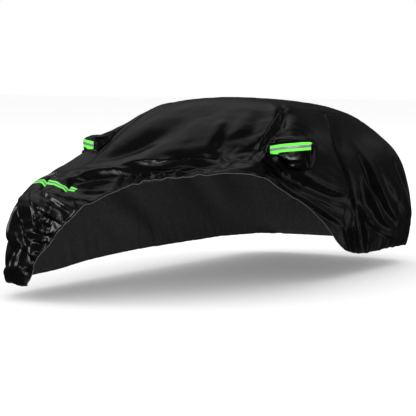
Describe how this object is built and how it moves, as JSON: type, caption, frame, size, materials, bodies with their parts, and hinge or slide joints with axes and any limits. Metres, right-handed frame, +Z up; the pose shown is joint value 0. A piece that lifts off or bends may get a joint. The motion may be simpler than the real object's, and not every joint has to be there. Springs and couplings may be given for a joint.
{
  "type": "car cover",
  "caption": "Fitted black cloth cover for a small hatchback, drawn back from one front corner, with mirror pockets and reflective tape.",
  "frame": {"origin": "roof seat: the place under the top of the roof where the covered vehicle carries the cloth", "axes": "+Z up, +Y towards the tail, +X to the left side of the covered vehicle"},
  "size_m": [2.105, 4.0712, 1.3687],
  "materials": {
    "black cloth": "satin coated polyester with soft creases",
    "green tape": "bright woven tape",
    "grey strip": "reflective satin"
  },
  "bodies": {
    "root": {"centre_panel": "black cloth", "right_side_panel": "black cloth", "left_front_panel": "black cloth", "left_rear_panel": "black cloth", "left_mirror_pocket": "black cloth", "right_mirror_pocket": "black cloth", "left_mirror_tape": "green tape", "right_mirror_tape": "green tape", "corner_tape": "green tape", "left_mirror_strip": "grey strip", "right_mirror_strip": "grey strip", "corner_strip": "grey strip"}
  },
  "joints": []
}
